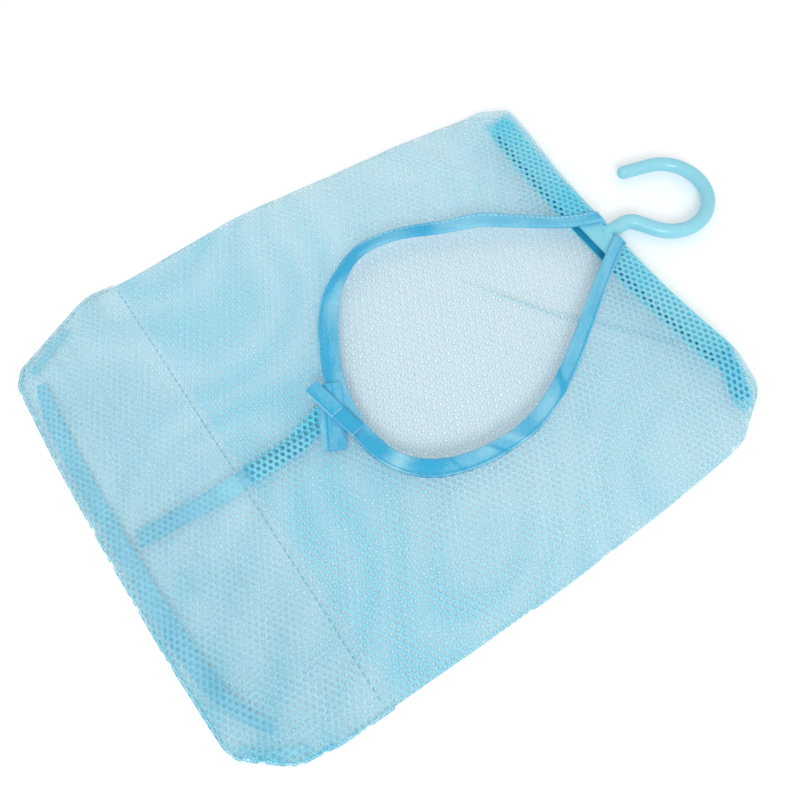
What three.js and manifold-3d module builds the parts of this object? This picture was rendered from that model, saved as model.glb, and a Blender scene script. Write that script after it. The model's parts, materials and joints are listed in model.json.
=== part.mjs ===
// Hanging net bag on a swivel hook, lying on its back. Millimetres: x across, y towards the hook, z up.
import * as THREE from "three";
import { mergeVertices } from "three/addons/utils/BufferGeometryUtils.js";
import Module from "manifold-3d";

const wasm = await Module();
wasm.setup();

// Bag outline, a rectangle with cut corners whose top edge dips at the hook
const BAG_WIDTH = 274;
const BAG_HEIGHT = 320;
const TOP_DIP = 6;
const TOP_CUT_ACROSS = 22;
const TOP_CUT_ALONG = 42;
const BOTTOM_CUT_ACROSS = 22;
const BOTTOM_CUT_ALONG = 48;

// How the front net lies: its height at the bottom edge and the rounding of its borders
const BOTTOM_LOFT = 4.5;
const SIDE_ROUND = 22;
const BOTTOM_ROUND = 20;
const BOTTOM_CUT_ROUND = 18;
const TOP_CUT_ROUND = 6;
const TOP_ROUND = 1.5;
const ROUND_STEPS = 6;

// Cloth, and the gap left between layers that touch
const NET_THICK = 0.9;
const TAPE_THICK = 0.6;
const TAPE_WIDTH = 9.8;
const THREAD_THICK = 0.4;
const THREAD_WIDTH = 0.7;
const LAYER_GAP = 0.3;

// Teardrop opening, measured at the inner edge of its binding
const OPENING_WIDTH = 132;
const OPENING_LOW = 139;
const OPENING_WIDEST = 196;
const OPENING_SAG = 19;
const FLANK_LOW_HANDLE = 38;
const FLANK_TOP_ACROSS = 23;
const FLANK_TOP_ALONG = 51;
const FLANK_STEPS = 10;
const BELLY_STEPS = 20;
const STITCH_INSET = 1.6;

// Turned-up bottom layer and the seams
const TURN_UP_HEIGHT = 72;
const SEAM_X = 0;
const BOTTOM_TAPE_INSET = 3.8;
const BOTTOM_TAPE_END = 10;
const CORNER_TAPE_WIDTH = 6;
const CORNER_TAPE_INSET = 2;
const CORNER_TAPE_END = 8;
const SEAM_STITCH_OFFSET = 2.2;

// Tape end inside the top right corner, its middle measured from that corner
const TOP_TAPE_LENGTH = 30;
const TOP_TAPE_IN = 11;
const TOP_TAPE_DOWN = 16;
const TOP_TAPE_ANGLE = THREE.MathUtils.degToRad(-23);

// Crossed tape ends under the opening
const BOW_X = 1;
const TAB_LENGTH = 36;
const TAB_WIDTH = 8;
const TAB_ANGLE = THREE.MathUtils.degToRad(10);
const TAIL_LENGTH = 37;
const TAIL_ANGLE = THREE.MathUtils.degToRad(-29);
const TAIL_SHIFT_X = 3;
const TAIL_SHIFT_Y = -1.5;
const TAB_STITCH_MARGIN = 0.8;

// Hanger bar, a bowed channel open towards the bag, with a collar for the hook
const HANGER_X = -4.6;
const BAR_REACH = 97;
const BAR_BOW = 5;
const BAR_STEPS = 12;
const BAR_HEIGHT = 11;
const BAR_THICK = 10;
const BAR_WALL = 1.6;
const BAR_WEB = 2.4;
const BAR_END_WALL = 2.5;
const BAR_END_RADIUS = 4;
const BAR_BELOW_TOP = 3.5;
const COLLAR_RADIUS = 5.3;
const COLLAR_HEIGHT = 2.8;
const COLLAR_CLEAR = 0.7;

// Hook, a round rod that swivels in the collar
const STEM_RADIUS = 4.4;
const TIP_RADIUS = 3.9;
const STEM_STRAIGHT = 9.5;
const BEND_RADIUS = 9;
const BEND_ANGLE = THREE.MathUtils.degToRad(58);
const LOOP_RADIUS = 24.2;
const LOOP_END = THREE.MathUtils.degToRad(163);
const TIP_STRAIGHT = 16;
const SPIGOT_RADIUS = 3.8;
const SPIGOT_LENGTH = 2.2;
const NECK_RADIUS = 2.2;
const HEAD_RADIUS = 2.9;
const HEAD_LENGTH = 2;
const SWIVEL_CLEAR = 0.3;
const ROD_STEPS = 56;
const ROD_SIDES = 16;
const TIP_STEPS = 4;

// Places that follow from the sizes above
const netBase = NET_THICK + LAYER_GAP;
const axisZ = netBase + Math.max(COLLAR_RADIUS, BAR_THICK / 2);
const barFront = axisZ + BAR_THICK / 2;
const barHigh = BAG_HEIGHT - BAR_BELOW_TOP;
const barLow = barHigh - BAR_HEIGHT;
const collarTop = barHigh + COLLAR_HEIGHT;
const foldUnder = NET_THICK + LAYER_GAP + TAPE_THICK;
const foldOver = LAYER_GAP + TAPE_THICK;
const turnUpTop = LAYER_GAP + NET_THICK;
const loftAtBar = barFront + LAYER_GAP + foldUnder;
const loftSlope = (loftAtBar - BOTTOM_LOFT) / barLow;
const stitchTop = foldOver + LAYER_GAP + THREAD_THICK;
const tailTop = stitchTop + LAYER_GAP + TAPE_THICK;
const tabTop = tailTop + LAYER_GAP + TAPE_THICK;
const cutMargin = 20;

// Closed body between matching rings of points, each ring counter-clockwise about the direction of travel
function ringLoft(rings) {
  const count = rings[0].length;
  const positions = rings.flat().flatMap((p) => [p.x, p.y, p.z]);
  const index = [];
  for (let ring = 0; ring < rings.length - 1; ring++) {
    for (let i = 0; i < count; i++) {
      const a = ring * count + i;
      const b = ring * count + ((i + 1) % count);
      index.push(a, b, b + count, a, b + count, a + count);
    }
  }
  const last = (rings.length - 1) * count;
  for (let i = 1; i < count - 1; i++) {
    index.push(0, i + 1, i);
    index.push(last, last + i, last + i + 1);
  }
  const geometry = new THREE.BufferGeometry();
  geometry.setAttribute("position", new THREE.Float32BufferAttribute(positions, 3));
  geometry.setIndex(index);
  return geometry;
}

function toSolid(geometry) {
  const plain = geometry.clone();
  plain.deleteAttribute("normal");
  plain.deleteAttribute("uv");
  const merged = mergeVertices(plain);
  const vertProperties = new Float32Array(merged.attributes.position.array);
  const triVerts = new Uint32Array(merged.index.array);
  return new wasm.Manifold(new wasm.Mesh({ numProp: 3, vertProperties, triVerts }));
}

function toGeometry(solid) {
  const mesh = solid.getMesh();
  const geometry = new THREE.BufferGeometry();
  geometry.setAttribute("position", new THREE.Float32BufferAttribute(mesh.vertProperties, 3));
  geometry.setIndex(Array.from(mesh.triVerts));
  geometry.computeVertexNormals();
  return geometry;
}

// Straight-sided solid over a plan outline
function prism(points, low, high) {
  const geometry = new THREE.ExtrudeGeometry(new THREE.Shape(points), {
    depth: high - low,
    bevelEnabled: false,
    curveSegments: ROD_SIDES,
  });
  geometry.translate(0, 0, low);
  return toSolid(geometry);
}

// Prism tall enough to cut every layer of cloth
function cutter(points) {
  return prism(points, -cutMargin, loftAtBar + cutMargin);
}

// Round body along y on the hook's axis
function turned(radius, low, high) {
  const geometry = new THREE.CylinderGeometry(radius, radius, high - low, 2 * ROD_SIDES);
  geometry.translate(HANGER_X, (low + high) / 2, axisZ);
  return toSolid(geometry);
}

// One straight border of the bag's outline through two points, with the outward side on its right
function border(x1, y1, x2, y2, round) {
  const normal = new THREE.Vector2(y2 - y1, x1 - x2).normalize();
  return { normal, reach: normal.x * x1 + normal.y * y1, round };
}

function bagBorders() {
  const w = BAG_WIDTH / 2;
  const h = BAG_HEIGHT;
  const topX = w - TOP_CUT_ACROSS;
  const topY = h - TOP_CUT_ALONG;
  const cornerY = h + TOP_DIP;
  const lowX = w - BOTTOM_CUT_ACROSS;
  const lowY = BOTTOM_CUT_ALONG;
  return [
    border(-lowX, 0, lowX, 0, BOTTOM_ROUND),
    border(lowX, 0, w, lowY, BOTTOM_CUT_ROUND),
    border(w, lowY, w, topY, SIDE_ROUND),
    border(w, topY, topX, cornerY, TOP_CUT_ROUND),
    border(topX, cornerY, HANGER_X, h, TOP_ROUND),
    border(HANGER_X, h, -topX, cornerY, TOP_ROUND),
    border(-topX, cornerY, -w, topY, TOP_CUT_ROUND),
    border(-w, topY, -w, lowY, SIDE_ROUND),
    border(-w, lowY, -lowX, 0, BOTTOM_CUT_ROUND),
  ];
}

// Corner points of the outline when every border moves in by a share of its rounding and out by a lift
function outlinePoints(share, lift) {
  const borders = bagBorders();
  return borders.map((next, i) => {
    const prev = borders[(i + borders.length - 1) % borders.length];
    const a = prev.reach - prev.round * share + lift;
    const b = next.reach - next.round * share + lift;
    const det = prev.normal.x * next.normal.y - prev.normal.y * next.normal.x;
    const x = (a * next.normal.y - b * prev.normal.y) / det;
    const y = (b * prev.normal.x - a * next.normal.x) / det;
    return new THREE.Vector2(x, y);
  });
}

// Solid under the front net's outer face grown by a lift, with elliptic borders
function pillow(lift, base) {
  const rings = [];
  for (let step = 0; step <= ROUND_STEPS; step++) {
    const angle = (step / ROUND_STEPS) * (Math.PI / 2);
    const corners = outlinePoints(1 - Math.cos(angle), lift);
    rings.push(
      corners.map(({ x, y }) => {
        const top = BOTTOM_LOFT + loftSlope * y + lift;
        return new THREE.Vector3(x, y, base + (top - base) * Math.sin(angle));
      })
    );
  }
  return toSolid(ringLoft(rings));
}

// Layer of cloth between two lifts over the front net's outer face, whose border goes down with a lower lift
function layer(low, high) {
  const outside = pillow(high, netBase + Math.min(high, 0));
  return outside.subtract(pillow(low, netBase + Math.min(low, -LAYER_GAP)));
}

// Inner edge of the opening: from above the top edge down the right flank, round the belly and up the left flank
function openingEdge() {
  const half = OPENING_WIDTH / 2;
  const topX = COLLAR_RADIUS + COLLAR_CLEAR;
  const drop = OPENING_WIDEST - OPENING_LOW;
  const flank = new THREE.CubicBezierCurve(
    new THREE.Vector2(topX, BAG_HEIGHT),
    new THREE.Vector2(topX + FLANK_TOP_ACROSS, BAG_HEIGHT - FLANK_TOP_ALONG),
    new THREE.Vector2(half, OPENING_WIDEST + FLANK_LOW_HANDLE),
    new THREE.Vector2(half, OPENING_WIDEST)
  ).getPoints(FLANK_STEPS);
  const belly = [];
  for (let step = 1; step < BELLY_STEPS; step++) {
    const angle = (step / BELLY_STEPS) * Math.PI;
    const fall = Math.sin(angle);
    const x = half * Math.cos(angle) + OPENING_SAG * fall * fall;
    belly.push(new THREE.Vector2(x, OPENING_WIDEST - drop * fall));
  }
  const end = new THREE.Vector2(topX, BAG_HEIGHT + cutMargin);
  const right = [end, ...flank];
  const left = right.map((p) => new THREE.Vector2(-p.x, p.y)).reverse();
  return [...right, ...belly, ...left].map((p) => new THREE.Vector2(p.x + HANGER_X, p.y));
}

// The opening's edge moved outwards by a distance
function openingOffset(distance) {
  const edge = openingEdge();
  return edge.map((p, i) => {
    const before = edge[Math.max(i - 1, 0)];
    const after = edge[Math.min(i + 1, edge.length - 1)];
    const along = after.clone().sub(before).normalize();
    return new THREE.Vector2(p.x - along.y * distance, p.y + along.x * distance);
  });
}

function openingBand(inner, outer) {
  return cutter([...openingOffset(inner), ...openingOffset(outer).reverse()]);
}

function openingInside(distance) {
  return cutter(openingOffset(distance));
}

// Straight strip in plan, given by its middle, length, width and angle
function strip(x, y, length, width, angle) {
  const along = new THREE.Vector2(Math.cos(angle), Math.sin(angle)).multiplyScalar(length / 2);
  const across = new THREE.Vector2(-Math.sin(angle), Math.cos(angle)).multiplyScalar(width / 2);
  const middle = new THREE.Vector2(x, y);
  return cutter([
    middle.clone().sub(along).sub(across),
    middle.clone().add(along).sub(across),
    middle.clone().add(along).add(across),
    middle.clone().sub(along).add(across),
  ]);
}

function block(minX, maxX, minY, maxY) {
  return strip((minX + maxX) / 2, (minY + maxY) / 2, maxX - minX, maxY - minY, 0);
}

function backPanel() {
  return prism(outlinePoints(0, 0), 0, NET_THICK);
}

// One half of the front net, from the centre seam to its side
function frontPanel(side) {
  const inner = SEAM_X + (side * LAYER_GAP) / 2;
  const outer = side * BAG_WIDTH;
  const half = block(Math.min(inner, outer), Math.max(inner, outer), -cutMargin, BAG_HEIGHT + cutMargin);
  const hole = openingInside(TAPE_THICK + LAYER_GAP);
  return layer(-NET_THICK, 0).intersect(half).subtract(hole);
}

function bottomTurnUp() {
  const low = block(-BAG_WIDTH, BAG_WIDTH, -cutMargin, TURN_UP_HEIGHT);
  return layer(LAYER_GAP, turnUpTop).intersect(low);
}

// Tape folded over the net's edge, so its section is a U
function openingBinding() {
  const outside = layer(-foldUnder, foldOver).intersect(openingBand(0, TAPE_WIDTH));
  const netSlot = layer(-NET_THICK - LAYER_GAP, LAYER_GAP);
  return outside.subtract(netSlot.intersect(openingBand(TAPE_THICK, TAPE_WIDTH + cutMargin)));
}

function bindingStitch() {
  const row = TAPE_WIDTH - STITCH_INSET;
  return layer(foldOver + LAYER_GAP, stitchTop).intersect(openingBand(row - THREAD_WIDTH, row));
}

const bowY = OPENING_LOW - TAPE_WIDTH;

function bindingTail() {
  const plan = strip(BOW_X + TAIL_SHIFT_X, bowY + TAIL_SHIFT_Y, TAIL_LENGTH, TAPE_WIDTH, TAIL_ANGLE);
  return layer(stitchTop + LAYER_GAP, tailTop).intersect(plan);
}

function bindingTab() {
  return layer(tailTop + LAYER_GAP, tabTop).intersect(strip(BOW_X, bowY, TAB_LENGTH, TAB_WIDTH, TAB_ANGLE));
}

function tabStitch() {
  const length = TAB_WIDTH - 2 * TAB_STITCH_MARGIN;
  const row = strip(BOW_X, bowY, THREAD_WIDTH, length, TAB_ANGLE);
  return layer(tabTop + LAYER_GAP, tabTop + LAYER_GAP + THREAD_THICK).intersect(row);
}

// Tape on the inner face of the front net, within a plan outline and clear of the back net
function insideTape(plan) {
  const below = prism(outlinePoints(0, 0), -cutMargin, netBase);
  return layer(-foldUnder, -NET_THICK - LAYER_GAP).intersect(plan).subtract(below);
}

const bottomTapeTop = BOTTOM_TAPE_INSET + TAPE_WIDTH;

function centreSeamTape() {
  const half = TAPE_WIDTH / 2;
  const plan = block(SEAM_X - half, SEAM_X + half, bottomTapeTop + LAYER_GAP, OPENING_WIDEST);
  return insideTape(plan.subtract(openingInside(TAPE_WIDTH + LAYER_GAP)));
}

function bottomSeamTape() {
  const reach = BAG_WIDTH / 2 - BOTTOM_CUT_ACROSS - BOTTOM_TAPE_END;
  return insideTape(block(-reach, reach, BOTTOM_TAPE_INSET, bottomTapeTop));
}

// Tape inside a cut lower corner, along the cut
function cornerSeamTape(side) {
  const angle = Math.atan2(BOTTOM_CUT_ALONG, BOTTOM_CUT_ACROSS);
  const length = Math.hypot(BOTTOM_CUT_ACROSS, BOTTOM_CUT_ALONG) - 2 * CORNER_TAPE_END;
  const inset = CORNER_TAPE_INSET + CORNER_TAPE_WIDTH / 2;
  const x = BAG_WIDTH / 2 - BOTTOM_CUT_ACROSS / 2 - inset * Math.sin(angle);
  const y = BOTTOM_CUT_ALONG / 2 + inset * Math.cos(angle);
  return insideTape(strip(side * x, y, length, CORNER_TAPE_WIDTH, side * angle));
}

function topCornerTape() {
  const x = BAG_WIDTH / 2 - TOP_CUT_ACROSS - TOP_TAPE_IN;
  const y = BAG_HEIGHT + TOP_DIP - TOP_TAPE_DOWN;
  return insideTape(strip(x, y, TOP_TAPE_LENGTH, TAPE_WIDTH, TOP_TAPE_ANGLE));
}

function turnUpStitch() {
  const reach = BAG_WIDTH / 2 - SIDE_ROUND;
  const high = TURN_UP_HEIGHT - STITCH_INSET;
  const row = block(-reach, reach, high - THREAD_WIDTH, high);
  return layer(turnUpTop + LAYER_GAP, turnUpTop + LAYER_GAP + THREAD_THICK).intersect(row);
}

function centreSeamStitch() {
  const x = SEAM_X + SEAM_STITCH_OFFSET;
  const row = block(x, x + THREAD_WIDTH, TURN_UP_HEIGHT + LAYER_GAP, OPENING_WIDEST);
  const plan = row.subtract(openingInside(TAPE_WIDTH + LAYER_GAP));
  return layer(LAYER_GAP, LAYER_GAP + THREAD_THICK).intersect(plan);
}

// Plan points on a level line, close enough together to follow the bow
function levelRun(fromX, toX, y) {
  const points = [];
  for (let step = 0; step <= BAR_STEPS; step++) {
    points.push(new THREE.Vector2(THREE.MathUtils.lerp(fromX, toX, step / BAR_STEPS), y));
  }
  return points;
}

function cornerArc(x, y, radius, from) {
  const points = [];
  for (let step = 1; step < TIP_STEPS; step++) {
    const angle = from + (step / TIP_STEPS) * (Math.PI / 2);
    points.push(new THREE.Vector2(x + radius * Math.cos(angle), y + radius * Math.sin(angle)));
  }
  return points;
}

// The same points with the bow added: the bar's ends stand higher than its middle
function bowed(points) {
  return points.map((p) => {
    const share = (p.x - HANGER_X) / BAR_REACH;
    return new THREE.Vector2(p.x, p.y + BAR_BOW * share * share);
  });
}

function roundedBar() {
  const left = HANGER_X - BAR_REACH;
  const right = HANGER_X + BAR_REACH;
  const r = BAR_END_RADIUS;
  const outline = [
    ...levelRun(left, right, barLow),
    new THREE.Vector2(right, barHigh - r),
    ...cornerArc(right - r, barHigh - r, r, 0),
    ...levelRun(right - r, left + r, barHigh),
    ...cornerArc(left + r, barHigh - r, r, Math.PI / 2),
    new THREE.Vector2(left, barHigh - r),
  ];
  return prism(bowed(outline), axisZ - BAR_THICK / 2, barFront);
}

function hangerBar() {
  const left = HANGER_X - BAR_REACH + BAR_END_WALL;
  const right = HANGER_X + BAR_REACH - BAR_END_WALL;
  const halfInside = BAR_THICK / 2 - BAR_WALL;
  const webLow = barHigh - BAR_WEB;
  const inside = [...levelRun(left, right, barLow - cutMargin), ...levelRun(right, left, webLow)];
  const channel = prism(bowed(inside), axisZ - halfInside, axisZ + halfInside);
  const collar = turned(COLLAR_RADIUS, webLow, collarTop);
  const socket = turned(SPIGOT_RADIUS + SWIVEL_CLEAR, collarTop - SPIGOT_LENGTH, collarTop + cutMargin);
  const neckHole = turned(NECK_RADIUS + SWIVEL_CLEAR, barLow, collarTop);
  return roundedBar().subtract(channel).add(collar).subtract(socket).subtract(neckHole);
}

// Centre line of the rod: stem, bend to the right, tangent run, loop over the stem, straight tip
function hookRoute() {
  const start = collarTop + SWIVEL_CLEAR;
  const bendY = start + STEM_STRAIGHT;
  const reach = LOOP_RADIUS + BEND_RADIUS;
  const run = (reach * Math.cos(BEND_ANGLE) - BEND_RADIUS) / Math.sin(BEND_ANGLE);
  const loopY = bendY + reach * Math.sin(BEND_ANGLE) + run * Math.cos(BEND_ANGLE);
  const route = new THREE.Path();
  route.moveTo(HANGER_X, start);
  route.lineTo(HANGER_X, bendY);
  route.absarc(HANGER_X + BEND_RADIUS, bendY, BEND_RADIUS, Math.PI, Math.PI - BEND_ANGLE, true);
  route.absarc(HANGER_X, loopY, LOOP_RADIUS, -BEND_ANGLE, LOOP_END, false);
  const end = route.currentPoint.clone();
  route.lineTo(end.x - Math.sin(LOOP_END) * TIP_STRAIGHT, end.y + Math.cos(LOOP_END) * TIP_STRAIGHT);
  return { route, top: loopY + LOOP_RADIUS };
}

// Ring round the rod at a point of its centre line, which lies in the plane z = axisZ
function rodRing(point, tangent, radius) {
  const ring = [];
  for (let side = 0; side < ROD_SIDES; side++) {
    const angle = (side / ROD_SIDES) * 2 * Math.PI;
    const out = radius * Math.cos(angle);
    const z = axisZ + radius * Math.sin(angle);
    ring.push(new THREE.Vector3(point.x - tangent.y * out, point.y + tangent.x * out, z));
  }
  return ring;
}

function hook() {
  const { route } = hookRoute();
  const rings = [];
  for (let step = 0; step <= ROD_STEPS; step++) {
    const share = step / ROD_STEPS;
    const radius = THREE.MathUtils.lerp(STEM_RADIUS, TIP_RADIUS, share);
    rings.push(rodRing(route.getPointAt(share), route.getTangentAt(share), radius));
  }
  const tip = route.getPointAt(1);
  const out = route.getTangentAt(1);
  for (let step = 1; step <= TIP_STEPS; step++) {
    const angle = (step / (TIP_STEPS + 1)) * (Math.PI / 2);
    const centre = tip.clone().addScaledVector(out, TIP_RADIUS * Math.sin(angle));
    rings.push(rodRing(centre, out, TIP_RADIUS * Math.cos(angle)));
  }
  const shoulder = collarTop + SWIVEL_CLEAR;
  const spigotLow = collarTop - SPIGOT_LENGTH + SWIVEL_CLEAR;
  const headTop = barHigh - BAR_WEB - SWIVEL_CLEAR;
  const spigot = turned(SPIGOT_RADIUS, spigotLow, shoulder + SPIGOT_LENGTH);
  const neck = turned(NECK_RADIUS, headTop - HEAD_LENGTH, shoulder);
  const head = turned(HEAD_RADIUS, headTop - HEAD_LENGTH, headTop);
  return toSolid(ringLoft(rings)).add(spigot).add(neck).add(head);
}

// Finishes
const plastic = { color: 0x86d2e4, roughness: 0.32, metalness: 0 };
const net = { color: 0xb4dce9, roughness: 0.75, metalness: 0 };
const tape = { color: 0x5dbbe2, roughness: 0.55, metalness: 0 };
const thread = { color: 0x3fa8d2, roughness: 0.6, metalness: 0 };

const bag = new THREE.Group();

function place(name, solid, finish) {
  const mesh = new THREE.Mesh(toGeometry(solid), new THREE.MeshStandardMaterial(finish));
  mesh.name = name;
  bag.add(mesh);
}

place("hook", hook(), plastic);
place("hanger_bar", hangerBar(), plastic);
place("back_panel", backPanel(), net);
place("front_panel_left", frontPanel(-1), net);
place("front_panel_right", frontPanel(1), net);
place("bottom_turn_up", bottomTurnUp(), net);
place("opening_binding", openingBinding(), tape);
place("binding_tail", bindingTail(), tape);
place("binding_tab", bindingTab(), tape);
place("centre_seam_tape", centreSeamTape(), tape);
place("bottom_seam_tape", bottomSeamTape(), tape);
place("corner_seam_tape_left", cornerSeamTape(-1), tape);
place("corner_seam_tape_right", cornerSeamTape(1), tape);
place("top_corner_tape", topCornerTape(), tape);
place("binding_stitch", bindingStitch(), thread);
place("tab_stitch", tabStitch(), thread);
place("turn_up_stitch", turnUpStitch(), thread);
place("centre_seam_stitch", centreSeamStitch(), thread);

// The origin is the middle of the part's plan, on the surface it lies on
const highest = hookRoute().top + THREE.MathUtils.lerp(STEM_RADIUS, TIP_RADIUS, 0.5);
const lowest = -turnUpTop;
bag.position.y = -(highest + lowest) / 2;

const part = new THREE.Group();
part.add(bag);

export default part;
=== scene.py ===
import json
import math

import bmesh
import bpy
import numpy as np
from mathutils import Matrix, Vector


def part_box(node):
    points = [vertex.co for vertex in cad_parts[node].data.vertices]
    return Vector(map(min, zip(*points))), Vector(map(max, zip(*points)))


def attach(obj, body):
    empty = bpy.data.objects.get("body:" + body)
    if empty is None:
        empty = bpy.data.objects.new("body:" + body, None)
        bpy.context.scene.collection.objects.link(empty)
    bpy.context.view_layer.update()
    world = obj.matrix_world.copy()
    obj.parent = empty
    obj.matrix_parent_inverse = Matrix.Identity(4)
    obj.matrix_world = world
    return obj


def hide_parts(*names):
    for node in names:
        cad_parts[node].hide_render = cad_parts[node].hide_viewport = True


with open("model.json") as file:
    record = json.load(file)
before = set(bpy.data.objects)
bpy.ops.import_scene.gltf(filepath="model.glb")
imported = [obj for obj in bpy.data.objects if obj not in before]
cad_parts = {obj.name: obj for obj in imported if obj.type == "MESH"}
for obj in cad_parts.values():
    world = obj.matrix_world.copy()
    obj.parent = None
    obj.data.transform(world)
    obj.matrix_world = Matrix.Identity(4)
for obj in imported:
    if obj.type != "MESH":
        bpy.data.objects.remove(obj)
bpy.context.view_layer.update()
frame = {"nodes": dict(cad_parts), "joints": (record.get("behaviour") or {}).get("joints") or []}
print("frame loaded,", len(frame["nodes"]), "CAD nodes")

# Every shape is worked out in bag millimetres: x across, y up from the bottom edge, z up from the table.
mm = 0.001
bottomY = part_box("back_panel")[0].y
swivelAt = frame["joints"][0]["pos_m"]
hangerX = swivelAt[0] / mm
axisZ = swivelAt[2] / mm
random = np.random.default_rng(7)


def toFrame(points):  # bag millimetres to metres in the part's own frame
    out = np.array(points, float).reshape(-1, 3) * mm
    out[:, 1] += bottomY
    return out


def smoothStep(t):  # 0 to 1 with level ends
    t = np.clip(t, 0.0, 1.0)
    return t * t * (3 - 2 * t)


def ramp(x, start, length):  # rises smoothly from 0 at start to 1
    return smoothStep((x - start) / length)


def fall(x, end, length):  # falls smoothly from 1 to 0 at end
    return smoothStep((end - x) / length)


def hump(x, spread):  # bell curve, 1 in the middle
    return np.exp(-(x / spread) ** 2)


def unit(vectors):
    return vectors / np.maximum(np.linalg.norm(vectors, axis=-1, keepdims=True), 1e-12)


def heading(degrees):
    return math.cos(math.radians(degrees)), math.sin(math.radians(degrees))


def waveSum(waves, x, y):  # sines with height mm, wavelength mm, direction degrees and phase, added up
    total = 0.0
    for height, length, degrees, phase in waves:
        c, d = heading(degrees)
        total = total + height * np.sin(2 * math.pi * (x * c + y * d) / length + phase)
    return total


def between(table, i, j):  # straight-line reading between the points of a table
    a, b = i.astype(int), j.astype(int)
    f, g = i - a, j - b
    return ((table[a, b] * (1 - f) + table[a + 1, b] * f) * (1 - g)
            + (table[a, b + 1] * (1 - f) + table[a + 1, b + 1] * f) * g)


def addObject(name, data):
    thing = bpy.data.objects.new(name, data)
    bpy.context.scene.collection.objects.link(thing)
    return thing


def turnedTo(side, up, back, place):  # matrix of an object with these three directions at a place
    return Matrix([[side[i], up[i], back[i], place[i]] for i in range(3)] + [[0, 0, 0, 1]])


# The camera stands where the photograph was taken from.
camera = dict(
    place=(0.18127, -0.15169, 0.430),
    right=(0.5750, 0.8181, 0.0),
    up=(-0.7365, 0.5177, 0.4352),
    lens=40.86, sensor=36,
)
cameraData = bpy.data.cameras.new("camera")
cameraData.lens = camera["lens"]
cameraData.sensor_width = camera["sensor"]
cameraObject = addObject("camera", cameraData)
rightWay, upWay = unit(np.array(camera["right"])), unit(np.array(camera["up"]))
cameraObject.matrix_world = turnedTo(rightWay, upWay, np.cross(rightWay, upWay), camera["place"])
bpy.context.scene.camera = cameraObject
print("camera set")


# Materials

def toLinear(hexCode):  # sRGB hex to linear colour
    c = np.array([int(hexCode[i:i + 2], 16) for i in (0, 2, 4)]) / 255
    c = np.where(c <= 0.04045, c / 12.92, ((c + 0.055) / 1.055) ** 2.4)
    return (*c.tolist(), 1.0)


def addNode(tree, kind, values=None, links=None, **settings):
    # a link starts at a socket, or at a node's Fac or else its first output
    node = tree.nodes.new(kind)
    for key, value in settings.items():
        setattr(node, key, value)
    for key, value in (values or {}).items():
        node.inputs[key].default_value = value
    for key, source in (links or {}).items():
        if isinstance(source, bpy.types.Node):
            source = source.outputs.get("Fac") or source.outputs[0]
        tree.links.new(source, node.inputs[key])
    return node


def newFinish(name):
    material = bpy.data.materials.new(name)
    material.use_nodes = True
    material.node_tree.nodes.clear()
    return material, material.node_tree


def addSurface(tree, s, shade, height, patches, values, links=None, over=()):
    # how every finish ends: dark to light by shade, tints over it, relief and uneven roughness
    colour = addNode(tree, "ShaderNodeMix", {6: toLinear(s["dark"]), 7: toLinear(s["light"])}, {0: shade},
                     data_type="RGBA")
    for share, tint in over:
        colour = addNode(tree, "ShaderNodeMix", {7: toLinear(tint)}, {0: share, 6: colour.outputs[2]},
                         data_type="RGBA")
    relief = addNode(tree, "ShaderNodeBump", {"Strength": s["relief"], "Distance": s["depth"] * mm},
                     {"Height": height})
    smooth, rough = s["roughness"] - s["smoother"], s["roughness"] + s["rougher"]
    uneven = addNode(tree, "ShaderNodeMapRange", {"To Min": smooth, "To Max": rough}, {"Value": patches})
    shader = addNode(tree, "ShaderNodeBsdfPrincipled", values, {
        "Base Color": colour.outputs[2], "Roughness": uneven, "Normal": relief, **(links or {})})
    addNode(tree, "ShaderNodeOutputMaterial", links={"Surface": shader})


# Knitted polyester net: soft bundles of fine filaments, faintly glossy, with light coming through.
netYarn = dict(
    name="knittedPolyesterNet", light="b8f0fd", dark="68e2fa",
    dyeAndFoldShadePatch=55.0,  # mm, slow patches: real dye change, and painted shade of soft folds
    dyeAndFoldShadeDepth=1.7,  # how strongly those patches tell
    filament=0.7,  # mm, coarser than the real 0.1 so that they show
    cover=0.17,  # share of the light that one face of a strand stops
    roughness=0.52, smoother=0.08, rougher=0.1, relief=0.35, depth=0.2,
)
# painted shade: a greyer copy of the yarn for the back net, greyest where it lies bare in the mouth
backYarn = dict(netYarn, name="knittedPolyesterNetBack", light="bae6f2", dark="aeecfb")


def makeNetYarn(s):
    material, tree = newFinish(s["name"])
    spot = addNode(tree, "ShaderNodeTexCoord")
    # slow noise: real dye change, and painted shade standing in for soft folds in the net
    dyeAndFoldShade = addNode(tree, "ShaderNodeTexNoise", {"Scale": 1 / (s["dyeAndFoldShadePatch"] * mm), "Detail": 2.0},
                  {"Vector": spot.outputs["Object"]})
    tone = addNode(tree, "ShaderNodeAttribute", attribute_name="tone")
    shade = addNode(tree, "ShaderNodeMath", {1: s["dyeAndFoldShadeDepth"]}, {0: dyeAndFoldShade, 2: tone},
                    operation="MULTIPLY_ADD", use_clamp=True)
    twist = addNode(tree, "ShaderNodeTexNoise", {"Scale": 1 / (s["filament"] * mm), "Detail": 3.0},
                    {"Vector": spot.outputs["Object"]})
    packed = addNode(tree, "ShaderNodeAttribute", attribute_name="packed")
    cover = addNode(tree, "ShaderNodeMath", {1: s["cover"]}, {0: packed}, operation="ADD", use_clamp=True)
    addSurface(tree, s, shade, twist, twist, {"IOR": 1.5, "Sheen Weight": 0.15}, {"Alpha": cover})
    return material


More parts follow.
